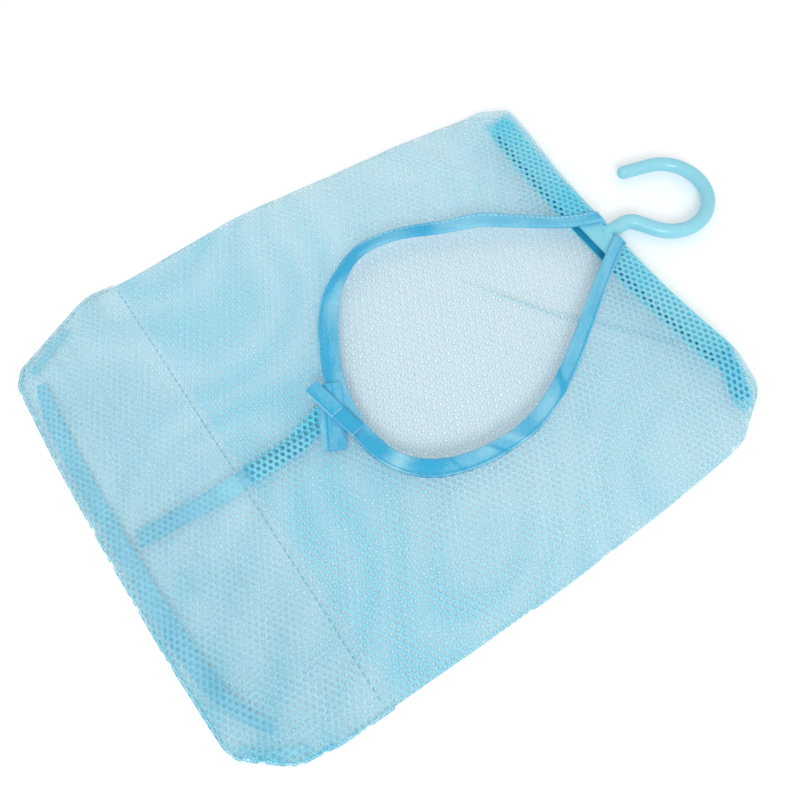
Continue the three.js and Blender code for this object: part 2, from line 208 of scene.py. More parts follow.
# Woven polyester tape: a close plain weave with a satin sheen, deeper in shade than the net.
wovenTape = dict(
    light="a6e4f5", dark="2cadda",
    thread=0.8,  # mm between ribs, coarser than the real 0.3 so that they show
    cloud=(24.0, 7.0),  # mm along and across, paler and deeper patches
    fleck=(2.2, 0.9),  # threads that stand out from the weave
    fleckDepth=0.6, weaveDepth=0.16,  # how strongly flecks and ribs tell in the shade
    roughness=0.58, smoother=0.06, rougher=0.12, relief=0.4, depth=0.2,
)


def makeWovenTape(s):
    material, tree = newFinish("wovenPolyesterTape")
    spot = addNode(tree, "ShaderNodeTexCoord")
    ribScale = 2 * math.pi / (20 * s["thread"] * mm)  # the wave node turns once in 2 pi / 20
    ribs, cross = (addNode(tree, "ShaderNodeTexWave", {"Scale": ribScale, "Distortion": 0.4},
                           {"Vector": spot.outputs["UV"]}, bands_direction=way) for way in "XY")
    weave = addNode(tree, "ShaderNodeMath", links={0: ribs, 1: cross}, operation="MULTIPLY")
    patterns = []
    for along, across, detail in ((*s["cloud"], 3.0), (*s["fleck"], 2.0)):
        scale = (1 / (along * mm), 1 / (across * mm), 1.0)
        stretched = addNode(tree, "ShaderNodeMapping", {"Scale": scale}, {"Vector": spot.outputs["UV"]})
        patterns.append(addNode(tree, "ShaderNodeTexNoise", {"Scale": 1.0, "Detail": detail},
                                {"Vector": stretched}))
    cloud, fleck = patterns
    tone = addNode(tree, "ShaderNodeAttribute", attribute_name="tone")
    thread = addNode(tree, "ShaderNodeMath", {1: s["fleckDepth"]}, {0: fleck, 2: cloud},
                     operation="MULTIPLY_ADD")
    weft = addNode(tree, "ShaderNodeMath", {1: s["weaveDepth"]}, {0: weave, 2: thread},
                   operation="MULTIPLY_ADD")
    shade = addNode(tree, "ShaderNodeMath", links={0: weft, 1: tone}, operation="ADD", use_clamp=True)
    addSurface(tree, s, shade, weave, cloud, {"IOR": 1.5, "Sheen Weight": 0.3, "Sheen Roughness": 0.4})
    return material


# Spun polyester thread: two plies twisted together, matt, with a fine diagonal twist.
sewingThread = dict(name="spunPolyesterThread", light="92d0e8", dark="4ca8ce", ply=0.5,
                    roughness=0.6, smoother=0.08, rougher=0.08, relief=0.5, depth=0.1)
# a paler copy of the thread for the tack: painted sheen where it catches the light
tackThread = dict(sewingThread, name="spunPolyesterThreadPale", light="c6ecf6", dark="86cfe8",
                  roughness=0.5)


def makeSewingThread(s):
    material, tree = newFinish(s["name"])
    spot = addNode(tree, "ShaderNodeTexCoord")
    plies = addNode(tree, "ShaderNodeTexWave",
                    {"Scale": 2 * math.pi / (20 * s["ply"] * mm), "Distortion": 1.0},
                    {"Vector": spot.outputs["Object"]}, bands_direction="DIAGONAL")
    addSurface(tree, s, plies, plies, plies, {"IOR": 1.5})
    return material


# Moulded polypropylene: waxy and half gloss, with slow flow marks and a very fine moulded grain.
# deep is painted shade for the inside of the bar's channel
hookPlastic = dict(name="mouldedPolypropylene", light="98dcea", dark="8ad2e4", deep="36b0d2",
                   flow=22.0, grain=0.8,  # mm
                   roughness=0.25, smoother=0.06, rougher=0.08, relief=0.08, depth=0.1)
# painted light: brighter past so many mm from the hook, where net lies on the bar, against the shade the
# net casts on it
barPlastic = dict(hookPlastic, name="mouldedPolypropyleneBar", light="8cdcee", dark="80d4e8",
                  roughness=0.34, paintedLightUnderNet="84f8ff", bare=12.0, fade=2.0)


def makeMouldedPlastic(s):
    material, tree = newFinish(s["name"])
    spot = addNode(tree, "ShaderNodeTexCoord")
    flow = addNode(tree, "ShaderNodeTexNoise", {"Scale": 1 / (s["flow"] * mm), "Detail": 3.0},
                   {"Vector": spot.outputs["Object"]})
    inside = addNode(tree, "ShaderNodeAttribute", attribute_name="inside")
    # painted shade: the inside of the bar's channel takes the deep colour
    over = [(inside, s["deep"])]
    # painted light on the bar where the net lies over it
    if "paintedLightUnderNet" in s:
        place = addNode(tree, "ShaderNodeSeparateXYZ", links={0: spot.outputs["Object"]})
        along = addNode(tree, "ShaderNodeMath", {1: hangerX * mm}, {0: place}, operation="SUBTRACT")
        away = addNode(tree, "ShaderNodeMath", links={0: along}, operation="ABSOLUTE")
        bare, paintedLightUnderNet = (s["bare"] - s["fade"]) * mm, (s["bare"] + s["fade"]) * mm
        past = addNode(tree, "ShaderNodeMapRange", {"From Min": bare, "From Max": paintedLightUnderNet}, {"Value": away})
        over.insert(0, (past, s["paintedLightUnderNet"]))
    grain = addNode(tree, "ShaderNodeTexNoise", {"Scale": 1 / (s["grain"] * mm), "Detail": 2.0},
                    {"Vector": spot.outputs["Object"]})
    addSurface(tree, s, flow, grain, flow, {"IOR": 1.49}, over=over)
    return material


finishes = {
    "net": makeNetYarn(netYarn),
    "tape": makeWovenTape(wovenTape),
    "thread": makeSewingThread(sewingThread),
    "plastic": makeMouldedPlastic(hookPlastic),
}
sheenTack, deepPlastic = makeSewingThread(tackThread), makeMouldedPlastic(barPlastic)
greyNet = makeNetYarn(backYarn)
print("materials made:", ", ".join(m.name for m in finishes.values()))


# Meshes and pieces

def enterPiece(name, mesh, slot, nodes, body="bag", sharp=None, finish=None):
    mesh.shade_smooth()
    if sharp:
        mesh.set_sharp_from_angle(angle=math.radians(sharp))
    mesh.materials.append(finish or finishes[slot])
    piece = addObject(name, mesh)
    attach(piece, body)
    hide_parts(*nodes)
    return piece


def addPiece(name, points, faceSets, slot, nodes, uv=None, recalc=True, marks=None, **settings):
    # points in bag mm, faceSets arrays with a row of corners for each face, marks values at the points
    mesh = bpy.data.meshes.new(name)
    place = toFrame(points)
    mesh.vertices.add(len(place))
    mesh.vertices.foreach_set("co", place.ravel())
    corners = np.concatenate([f.ravel() for f in faceSets]).astype(np.int32)
    sizes = np.concatenate([np.full(len(f), f.shape[1]) for f in faceSets])
    starts = np.concatenate([[0], np.cumsum(sizes)[:-1]]).astype(np.int32)
    mesh.loops.add(len(corners))
    mesh.loops.foreach_set("vertex_index", corners)
    mesh.polygons.add(len(sizes))
    mesh.polygons.foreach_set("loop_start", starts)
    mesh.update(calc_edges=True)
    if uv is not None:
        layer = mesh.uv_layers.new(name="UVMap")
        layer.data.foreach_set("uv", np.concatenate([u.reshape(-1) for u in uv]).astype(np.float32))
    for title, values in (marks or {}).items():
        mark = mesh.attributes.new(title, "FLOAT", "POINT")
        mark.data.foreach_set("value", np.asarray(values, np.float32).ravel())
    if recalc:
        shell = bmesh.new()
        shell.from_mesh(mesh)
        bmesh.ops.recalc_face_normals(shell, faces=shell.faces)
        shell.to_mesh(mesh)
        shell.free()
    return enterPiece(name, mesh, slot, nodes, **settings)


def gridFaces(rows, columns):  # quads between rows of points, closed round
    i, j = np.meshgrid(np.arange(rows - 1), np.arange(columns), indexing="ij")
    here, beside = i * columns + j, i * columns + (j + 1) % columns
    return np.stack([here, beside, beside + columns, here + columns], -1).reshape(-1, 4)


def endFans(rows, columns):  # fans from the first and last rows to the two points after them
    ring, last, count = np.arange(columns), (rows - 1) * columns, rows * columns
    beside = np.roll(ring, -1)
    return np.concatenate([np.stack([beside, ring, np.full(columns, count)], -1),
                           np.stack([ring + last, beside + last, np.full(columns, count + 1)], -1)])


# The bag's edge as it lies on the table: straight sides, corners cut round.
bagEdge = dict(
    corners=[
        (-116, 3), (-60, 0), (0, -1), (60, -1), (112, 1), (131, 23), (135, 46), (136, 95),
        (138, 165), (136, 245), (133, 292), (115, 321), (92, 323), (50, 319), (0, 319.5),
        (-50, 321.5), (-106, 328), (-121, 309), (-127, 275), (-139.5, 155), (-137, 78), (-139, 55),
    ],
    cut=0.1,  # share of each side
    softening=2,  # mm, reach of the rounding
)


def cutCorners(points, following, share):  # two points for each side, a share in from its ends
    return np.stack([(1 - share) * points + share * following,
                     share * points + (1 - share) * following], 1).reshape(-1, 2)


gridX, gridY = np.arange(-175.0, 176.0), np.arange(-35.0, 371.0)
fieldX, fieldY = np.meshgrid(gridX, gridY, indexing="ij")


def sideAway(x, y, start, end):  # distance from a straight side
    (ax, ay), (bx, by) = start, end
    dx, dy = bx - ax, by - ay
    along = np.clip(((x - ax) * dx + (y - ay) * dy) / (dx * dx + dy * dy), 0, 1)
    return np.hypot(x - ax - along * dx, y - ay - along * dy)


def lineAway(x, y, points):  # distance from a bent line
    away = np.inf
    for start, end in zip(points[:-1], points[1:]):
        away = np.minimum(away, sideAway(x, y, start, end))
    return away


def distanceField(loop):
    # distance of each grid point to a closed loop, positive inside
    inside = np.zeros(fieldX.shape, bool)
    for (ax, ay), (bx, by) in zip(loop, np.roll(loop, -1, 0)):
        if abs(by - ay) > 1e-9:
            crossing = (bx - ax) * (fieldY - ay) / (by - ay) + ax
            inside ^= ((ay > fieldY) != (by > fieldY)) & (fieldX < crossing)
    away = lineAway(fieldX, fieldY, np.concatenate([loop, loop[:1]]))
    return np.where(inside, away, -away)


def soften(field, reach):  # running weighted mean along both axes
    weights = np.hanning(2 * reach + 3)[1:-1]
    weights /= weights.sum()
    for axis in (0, 1):
        padded = np.pad(field, [(reach, reach) if a == axis else (0, 0) for a in (0, 1)], mode="edge")
        field = np.apply_along_axis(np.convolve, axis, padded, weights, mode="valid")
    return field


def lookUp(field, x, y):  # reading of a field at any place on the grid
    return between(field, np.clip(x - gridX[0], 0, len(gridX) - 1.001),
                   np.clip(y - gridY[0], 0, len(gridY) - 1.001))


bagLoop = np.array(bagEdge["corners"], float)
edgeField = soften(distanceField(cutCorners(bagLoop, np.roll(bagLoop, -1, 0), bagEdge["cut"])),
                   bagEdge["softening"])


def edgeIn(x, y):  # mm in from the bag's edge
    return lookUp(edgeField, x, y)


inwardX, inwardY = np.gradient(edgeField)
inwardSize = np.maximum(np.hypot(inwardX, inwardY), 1e-6)
inwardX, inwardY = inwardX / inwardSize, inwardY / inwardSize


def pushIn(x, y, short):  # places moved in from the bag's edge by what they are short of
    push = np.maximum(short, 0)
    return x + push * lookUp(inwardX, x, y), y + push * lookUp(inwardY, x, y)


# The mouth's inner edge: down the right flank, round the belly and up the left flank.
mouth = dict(
    top=4.6, topY=320.0, half=66.0, widestY=196.0, lowY=139.0, sag=19.0,
    flank=((28.5, 269.0), (65.5, 234.0)),
    leftIn=0.2, leftSpan=(275.0, 30.0),  # share by which the left flank is drawn in near the hook
    pulls=[(318, 14, -1.8), (285, 28, -3.3), (385, 40, -0.8), (404, 18, 2.4)],  # mm along, spread, outward
    close=345.0,  # where its loop is closed above the bag
    step=1.5,
)


def mouthEdge(s):
    # flanks are cubic curves, the belly is half an ellipse pushed aside by sag
    t = np.linspace(0, 1, 200)[:, None]
    ends = [(s["top"], s["topY"]), *s["flank"], (s["half"], s["widestY"])]
    p = [np.array([e], float) for e in ends]
    flank = p[0] * (1 - t) ** 3 + 3 * p[1] * t * (1 - t) ** 2 + 3 * p[2] * t * t * (1 - t) + p[3] * t ** 3
    a = np.linspace(0, math.pi, 400)[1:-1]
    belly = np.stack([s["half"] * np.cos(a) + s["sag"] * np.sin(a) ** 2,
                      s["widestY"] - (s["widestY"] - s["lowY"]) * np.sin(a)], -1)
    left = flank[::-1] * [-1, 1]
    left[:, 0] *= 1 - s["leftIn"] * ramp(left[:, 1], *s["leftSpan"])
    path = np.concatenate([flank, belly, left])
    path[:, 0] += hangerX
    return path


def evenly(path, step):  # the same path with points a step apart along it
    run = np.concatenate([[0], np.cumsum(np.linalg.norm(np.diff(path, axis=0), axis=1))])
    at = np.linspace(0, run[-1], max(int(round(run[-1] / step)), 2) + 1)
    return np.stack([np.interp(at, run, path[:, k]) for k in range(path.shape[1])], -1), at


def outward(path):  # directions across the path, away from the mouth
    along = unit(np.gradient(path, axis=0))
    return np.stack([-along[:, 1], along[:, 0]], -1)


mouthPath, mouthRun = evenly(mouthEdge(mouth), mouth["step"])
mouthPath = mouthPath + outward(mouthPath) * sum(  # the edge doesn't hang evenly
    size * hump(mouthRun - at, spread) for at, spread, size in mouth["pulls"])[:, None]
mouthOut = outward(mouthPath)
mouthField = distanceField(np.concatenate([[[hangerX + mouth["top"], mouth["close"]]], mouthPath[::3],
                                           [[hangerX - mouth["top"], mouth["close"]]]]))
print("bag edge and mouth laid out, mouth edge", round(mouthRun[-1]), "mm")

# The front net stands off the back one, higher over the bar, and comes down at its border.
# A span says where a change begins or ends and how many mm it takes.
frontNet = dict(
    bottomLoft=4.0, barLoft=13.6, barY=305.5, topY=330.0,  # height of its face
    edgeZ=0.9, topEdgeZ=5.2, edgeSpan=(304, 12), edgeEnd=(106.0, 20),  # height of its sewn edge
    sideRun=36.0, barRun=14.0, topRun=4.5, barSpan=(200, 90), topSpan=(302, 10),  # width of its border
    droop=5.5, endSpan=(98.0, 24), droopSpan=(225, 80),  # it hangs lower past the bar's ends
    calm=0.85, calmSpan=(265, 30),  # share by which the bar draws out the waves
    waves=[(0.50, 96, 22, 0.3), (0.42, 71, 118, 1.9), (0.30, 47, 64, 4.1), (0.24, 38, 150, 2.2),
           (0.16, 27, 8, 5.0)],
)


def plateau(x, y):
    # a slope up to the bar, less a droop past the bar's ends, plus long low waves
    s = frontNet
    past = ramp(np.abs(x - hangerX), *s["endSpan"]) * ramp(y, *s["droopSpan"])
    calm = 1 - s["calm"] * ramp(y, *s["calmSpan"]) * (1 - past)
    slope = (s["barLoft"] - s["bottomLoft"]) * np.clip(y, 0, s["topY"]) / s["barY"]
    return s["bottomLoft"] + slope - s["droop"] * past + calm * waveSum(s["waves"], x, y)


def runIn(y):  # how far in from the edge the net reaches its full height
    s = frontNet
    side = s["sideRun"] + (s["barRun"] - s["sideRun"]) * ramp(y, *s["barSpan"])
    return side + (s["topRun"] - side) * ramp(y, *s["topSpan"])


def edgeLevel(x, y):  # the sewn edge lies on the table, and half way up the bar along the top
    s = frontNet
    up = ramp(y, *s["edgeSpan"]) * fall(np.abs(x - hangerX), *s["edgeEnd"])
    return s["edgeZ"] + (s["topEdgeZ"] - s["edgeZ"]) * up


def frontZ(x, y):  # outer face: a quarter ellipse up from the edge, then the plateau
    t = np.clip(edgeIn(x, y) / runIn(y), 0, 1)
    low = edgeLevel(x, y)
    return low + (plateau(x, y) - low) * np.sqrt(1 - (1 - t) ** 2)


def onFront(flat, lift):
    # points on the front net's outer face, moved out along its normal by lift
    x, y = flat[..., 0], flat[..., 1]
    e = 0.4  # mm each way for the slope
    slopeX = (frontZ(x + e, y) - frontZ(x - e, y)) / (2 * e)
    slopeY = (frontZ(x, y + e) - frontZ(x, y - e)) / (2 * e)
    normal = unit(np.stack([-slopeX, -slopeY, np.ones_like(x)], -1))
    return np.stack([x, y, frontZ(x, y)], -1) + normal * np.asarray(lift)[..., None]


# Arc of a quarter ellipse one wide and k high: its whole length, and the angle at a share of that length.
firstRatio, ratioStep = 0.2, 0.1
ratioSteps, shareSteps = np.linspace(firstRatio, 4.2, 41), np.linspace(0, 1, 49)
arcAngles = np.linspace(0, math.pi / 2, 121)
arcRuns = np.sqrt(np.sin(arcAngles) ** 2 + (ratioSteps[:, None] * np.cos(arcAngles)) ** 2)
arcRuns = np.concatenate([np.zeros((41, 1)), np.cumsum((arcRuns[:, 1:] + arcRuns[:, :-1]) / 2, 1)], 1)
arcRuns *= arcAngles[1]
arcTable = np.stack([np.interp(shareSteps * r[-1], r, arcAngles) for r in arcRuns])


def arcAngle(ratio, share):
    return between(arcTable, np.clip((ratio - firstRatio) / ratioStep, 0, 39.999),
                   np.clip(share, 0, 1) * 47.999)


def border(u, v):  # width and rise of the border's curve, and its length
    run, rise = runIn(v), plateau(u, v) - edgeLevel(u, v)
    return run, rise, run * np.interp(rise / run, ratioSteps, arcRuns[:, -1])


def wrapFront(u, v):
    # flat cloth laid over the front, its edge taken up by the border's curve
    run, rise, whole = border(u, v)
    spare = whole - run
    along = edgeIn(u, v) + spare
    angle = arcAngle(rise / run, along / whole)
    inset = np.where(along < whole, run * (1 - np.cos(angle)), along - spare)
    shift = spare + inset - along
    return np.stack([u + shift * lookUp(inwardX, u, v), v + shift * lookUp(inwardY, u, v),
                     edgeLevel(u, v) + rise * np.sin(angle)], -1)


def frontSpare(u, v):  # distance from the flat cloth's own edge
    run, _, whole = border(u, v)
    return edgeIn(u, v) + whole - run


backNet = dict(
    lie=0.42, above=0.3, waves=[(0.16, 83, 35, 0.7), (0.14, 58, 127, 2.6)],
    crease=[(-36, 230), (-7, 246.5), (18, 262), (37.5, 279.5), (67, 302.5)],
    creaseHeight=1.3, creaseWidth=1.8, creaseFade=40,
    flatEdge=10.0, turnedEdge=2.8,  # mm in from the edge: free of waves, and turned up along the top
)


def creased(u, v):  # 1 along the crease, which fades out into the mouth
    s = backNet
    away = lineAway(u, v, s["crease"])
    return hump(away, s["creaseWidth"]) * ramp(u, s["crease"][0][0], s["creaseFade"])


def wrapBack(u, v):
    # flat but for low waves and one sharp crease, and turned up to the front's edge at the top
    s = backNet
    fromEdge = edgeIn(u, v)
    z = s["above"] + waveSum(s["waves"], u, v) + s["creaseHeight"] * creased(u, v)
    z = s["lie"] + z * smoothStep(fromEdge / s["flatEdge"])
    z = z + (edgeLevel(u, v) - frontNet["edgeZ"]) * (1 - smoothStep(fromEdge / s["turnedEdge"]))
    return np.stack([u, v, z], -1)


# The net itself: six-sided meshes in columns up the bag, strands thin out from their middle to the holes.
mesh = dict(
    pitch=3.56, holeAcross=0.54, holeAlong=0.32,  # mm, and holes as shares of the pitch
    thick=0.7, uneven=0.05, lowest=0.05,  # mm, nothing goes through the table
    columns=(-56, 57), rows=(-9, 104),  # enough to cover the bag
)


def netPiece(name, nodes, wrap, keep, trim, phase, marks, lift=0.0, pitch=mesh["pitch"], turned=0.0,
             holeScale=1.0, finish=None):
    # hole centres on a six-sided lattice where keep says, with ridge corners that neighbours share
    s = mesh
    column = pitch * math.sqrt(3) / 2
    c, d = heading(turned)
    spin = np.array([[c, d], [-d, c]])
    i, j = np.meshgrid(np.arange(*s["columns"]), np.arange(*s["rows"]), indexing="ij")
    centres = np.stack([i * column + phase[0], (j + 0.5 * (i % 2)) * pitch + phase[1]], -1).reshape(-1, 2)
    centres = centres[keep(*(centres @ spin).T)]
    turn = np.radians(np.arange(6) * 60)
    corner = np.stack([np.cos(turn), np.sin(turn)], -1) * pitch / math.sqrt(3)
    ridge = (centres[:, None] + corner).reshape(-1, 2)
    shrink = np.array([s["holeAcross"] * math.sqrt(3) / 2, s["holeAlong"]]) * holeScale
    hole = centres[:, None] + corner * shrink + random.normal(0, s["uneven"], (len(centres), 6, 2))
    tags = np.round(ridge * 50).astype(np.int64)  # corners within 0.02 mm are one
    _, first, owner = np.unique(tags[:, 0] * 100003 + tags[:, 1], return_index=True, return_inverse=True)
    ridgeFlat, holeFlat = ridge[first] @ spin, hole.reshape(-1, 2) @ spin

    def laid(p, height):  # stretched a little unevenly, turned back at its edge and laid in place
        a, b = trim(p[:, 0] + 0.5 * np.sin(p[:, 1] / 23 + phase[0]) * np.sin(p[:, 0] / 31),
                    p[:, 1] + 0.4 * np.sin(p[:, 0] / 27 + phase[1]) * np.cos(p[:, 1] / 37))
        e = 0.5  # mm each way for the normal
        normal = unit(np.cross(wrap(a + e, b) - wrap(a - e, b), wrap(a, b + e) - wrap(a, b - e)))
        return wrap(a, b) + normal * height

    half = s["thick"] / 2
    points = np.concatenate([laid(ridgeFlat, lift + half), laid(ridgeFlat, lift - half),
                             laid(holeFlat, lift)])
    points[:, 2] = np.maximum(points[:, 2], s["lowest"])
    flat = np.concatenate([ridgeFlat, ridgeFlat, holeFlat]).T
    count = len(ridgeFlat)
    top = owner.reshape(-1, 6)
    low, rim = top + count, 2 * count + np.arange(len(centres) * 6).reshape(-1, 6)
    nextTop, nextLow, nextRim = (np.roll(a, -1, 1) for a in (top, low, rim))
    upper = np.stack([top, nextTop, nextRim, rim], -1).reshape(-1, 4)
    under = np.stack([rim, nextRim, nextLow, low], -1).reshape(-1, 4)
    # a side with a mesh on one hand only is the net's edge, and is closed
    a, b = top.ravel(), nextTop.ravel()
    _, which, times = np.unique(np.minimum(a, b) * (count + 1) + np.maximum(a, b),
                                return_inverse=True, return_counts=True)
    lone = times[which] == 1
    sides = np.stack([b[lone], a[lone], a[lone] + count, b[lone] + count], -1)
    piece = addPiece(name, points, [upper, under, sides], "net", nodes, recalc=False,
                     marks={title: work(*flat) for title, work in marks.items()}, finish=finish)
    yarn = pitch * column * (1 - shrink[0] * shrink[1])  # square mm of each mesh
    piece["clothArea"] = float(len(centres) * yarn) * mm * mm
    print(" ", name, len(centres), "meshes,", 2 * len(upper) * 2 + 2 * len(sides), "triangles")
    return piece


turnUpY = 72.0
seamGap = 0.1
barLine = dict(middle=311.0, half=5.5, bow=5.0, reach=97.0)
# points along each tape inside the bag, and its width
seamTapes = {
    "centre_seam_tape": ([(-2, 131), (-1.5, 122), (3.2, 106), (4.9, 88), (4.9, 72), (4.5, 53), (2.9, 40),
                          (2, 24), (0.5, 14)], 9.8),
    "bottom_seam_tape": ([(-104, 12), (-84, 8), (-40, 6), (20, 5.8), (52, 6), (82, 8.6), (101, 14.6),
                          (113.5, 22.6)], 8.5),
    "corner_seam_tape_left": ([(-127, 38), (-113, 11)], 4.0),
    "corner_seam_tape_right": ([(111, 5), (116, 8), (124, 18), (129, 31)], 4.0),
    "top_corner_tape": ([(90, 312.5), (102, 310), (116, 306)], 9.8),
}
# how far past the bar or a tape's middle the net is drawn tight, mm
tightNet = dict(above=2.6, lessOnRight=2.2, rightRun=40, below=9.0, pastEnd=3.0, centre=6.5, corner=7.0)
# where and how the yarn's shade changes, spans in mm; much of it is painted light and shade, as said where
# each is used
netShade = dict(
    rim=(0.3, 2.5), lowEnd=(100, 110), loweredRun=4, bared=(-6, 10),
    deep=0.7, deepLess=0.2, barSpan=(270, 20), rightRun=25, rightEnd=(95, 15),
    foldSlant=0.9, foldLength=5.4, sway=1.3, swayLength=29, faintFold=0.4, foldSpan=(-20, 50),
    band=1.4, bandSpan=(54, 10),
    outOfStep=[(5.0, 210, 35, 0), (3.6, 180, 100, 0), (1.4, 84, 20, 0)],  # slow waves
)


def tight(u, v):  # where the net is drawn tight over the bar or over a tape just beneath it
    s, t = barLine, tightNet
    off = v - s["middle"] - s["bow"] * ((u - hangerX) / s["reach"]) ** 2
    over = s["half"] + t["above"] - t["lessOnRight"] * ramp(u, hangerX, t["rightRun"])
    bar = fall(off, over, 3) * ramp(off, -s["half"] - t["below"], 4)
    bar = bar * fall(np.abs(u - hangerX), s["reach"] + t["pastEnd"], 4)
    centre = fall(lineAway(u, v, seamTapes["centre_seam_tape"][0]), t["centre"], 2)
    centre = centre * ramp(v, turnUpY + 3, 3)
    corner = fall(lineAway(u, v, seamTapes["top_corner_tape"][0]), t["corner"], 2)
    return np.maximum(np.maximum(bar, centre), corner)


def overBar(u, v):  # how much deeper the tight strands are, least on the bar's right half
    s = netShade
    right = ramp(u, hangerX, s["rightRun"]) * fall(u, *s["rightEnd"])
    return s["deep"] - s["deepLess"] * ramp(v, *s["barSpan"]) * (1 + right)


def rim(u, v):  # where the net is doubled along its sewn edge
    return 1 - ramp(frontSpare(u, v), *netShade["rim"])


def lowEnd(v):  # the front below the mouth, painted deeper as shade
    return 1 - ramp(v, *netShade["lowEnd"])


def lowered(v):  # the strip where the bag's end is turned up, painted paler on the front beneath it
    return 1 - ramp(v, turnUpY, netShade["loweredRun"])


def clouded(u, v):  # curved bands where the meshes fall in and out of step
    return np.cos(2 * math.pi * waveSum(netShade["outOfStep"], u, v) / mesh["pitch"])


def bared(u, v):  # the part of the back net that lies open in the mouth, where painted shade makes it greyer
    return ramp(lookUp(mouthField, u, v), *netShade["bared"])


def streaked(u, v):  # painted shade and light of slanting folds in the turned-up strip, and a band along its sewn edge
    s = netShade
    folds = np.sin((u + s["foldSlant"] * v) / s["foldLength"] + s["sway"] * np.sin(u / s["swayLength"]))
    folds = folds * (s["faintFold"] + (1 - s["faintFold"]) * ramp(u, *s["foldSpan"]))
    return folds + s["band"] * ramp(v, *s["bandSpan"])


def trimFront(u, v):  # cloth past its own edge is turned back to it
    return pushIn(u, v, 0.15 - frontSpare(u, v))


def trimBack(u, v):
    return pushIn(u, v, 0.5 - edgeIn(u, v))


def onlyFront(u, v):
    return (frontSpare(u, v) > -0.6) & (lookUp(mouthField, u, v) < -3.0)


def layFront(u, v):
    return wrapFront(u, v) - [0, 0, 0.45]


# how much paler the yarn is and how much more light it stops: a weight for each place, added up
frontMarks = dict(
    # painted light: paler under the turned-up strip, against the shade of the layers over it; painted
    # shade: deeper low on the front, as if lit from the upper left
    tone=lambda u, v: (0.5 * lowered(v) - 0.6 * lowEnd(v) * (1 - tight(u, v)) - 0.5 * rim(u, v)
                       - overBar(u, v) * tight(u, v)),
    # painted shade: more closed low on the front, towards the right and at the strip's right end; painted
    # light: more open under the strip
    packed=lambda u, v: (0.045 + (0.61 - 0.15 * ramp(v, 200, 40)) * tight(u, v)
                         + 0.05 * clouded(u, v) * (1 - tight(u, v)) + 0.12 * rim(u, v)
                         + 0.04 * lowEnd(v) + 0.026 * np.clip(u / 60, -1, 1)
                         + (0.08 * ramp(u, 10, 80) - 0.1 + 0.2 * rim(u, v)) * lowered(v)),
)
backMarks = dict(
    # painted shade: greyer where bare in the mouth, deeper and more closed along the crease; painted light:
    # less closed at the top of the mouth, against the bar's shadow
    tone=lambda u, v: bared(u, v) - 0.85 - 0.5 * creased(u, v),
    packed=lambda u, v: 0.04 + 0.17 * creased(u, v) + bared(u, v) * (0.06 - 0.03 * ramp(v, 240, 40)),
)
turnUpMarks = dict(
    # painted shade: slanting folds painted paler and deeper, and the strip deeper towards its right end
    tone=lambda u, v: 0.5 - 1.2 * rim(u, v) - 0.5 * ramp(u, 10, 90) + 0.3 * streaked(u, v),
    packed=lambda u, v: 0.35 * rim(u, v) - 0.05 * streaked(u, v),
)

frontLeft, frontRight = (
    netPiece("front_net_" + side, ["front_panel_" + side], layFront,
             lambda u, v: (way * u > seamGap) & onlyFront(u, v), trimFront, phase, frontMarks)
    for side, way, phase in (("left", -1, (1.64, 0.4)), ("right", 1, (1.64, 1.3))))
backPanel = netPiece("back_net", ["back_panel"], wrapBack,
                     lambda u, v: edgeIn(u, v) > -0.3, trimBack,
                     (0.3, 1.9), backMarks, pitch=4.16, holeScale=0.86, finish=greyNet)
turnUp = netPiece("turn_up_net", ["bottom_turn_up"], layFront,
                  lambda u, v: (v < turnUpY + 0.5) & (frontSpare(u, v) > -0.6),
                  lambda u, v: trimFront(u, np.minimum(v, turnUpY)),
                  (0.9, 1.1), turnUpMarks, lift=1.15, pitch=3.3, turned=3.5)
print("nets knitted")


# Tapes carried along a line on the front net

def leaf(across, height):  # one level face of a tape's outline
    return np.stack([across, np.full(len(across), height)], -1)


def foldedTape(s):
    # closed outline of a tape folded in two lengthwise: fold at 0, free edges at width and under
    width, thick, low = s["width"], s["thick"], s["low"]
    high = low + 2 * thick + s["gap"]
    middle, outer, inner = (low + high) / 2, (high - low) / 2, s["gap"] / 2
    bend = np.linspace(0, math.pi, 9)
    near = width - np.array([0, 0.35, 0.7, 1.0, 1.25, 1.5, 1.8, 2.4])  # close rows carry the seam
    topFace = leaf(np.concatenate([near, np.linspace(width - 3.4, outer, 6)]), high)
    fold = np.stack([outer - outer * np.sin(bend), middle + outer * np.cos(bend)], -1)[1:-1]
    lower = np.linspace(outer, s.get("under", width), 12)
    innerFold = np.stack([outer - inner * np.sin(bend[::2]), middle - inner * np.cos(bend[::2])], -1)[1:-1]
    section = np.concatenate([topFace, fold, leaf(lower, low), leaf(lower[::-1], low + thick), innerFold,
                              leaf(np.linspace(outer, width, 4), high - thick)])
    section[0, 1] -= 0.25 * thick  # free edges are a little rounded
    section[len(topFace) + len(fold) + len(lower) - 1, 1] += 0.25 * thick
    return section


def flatTape(width, thick, low):  # closed outline of a single tape, centred on the line
    across = np.linspace(-width / 2, width / 2, 7)
    return np.concatenate([leaf(across[::-1], low + thick), leaf(across, low)])


def keepIn(flat, margin=0.3):  # points past the bag's edge are brought back to it
    x, y = flat[..., 0], flat[..., 1]
    return np.stack(pushIn(x, y, margin - edgeIn(x, y)), -1)


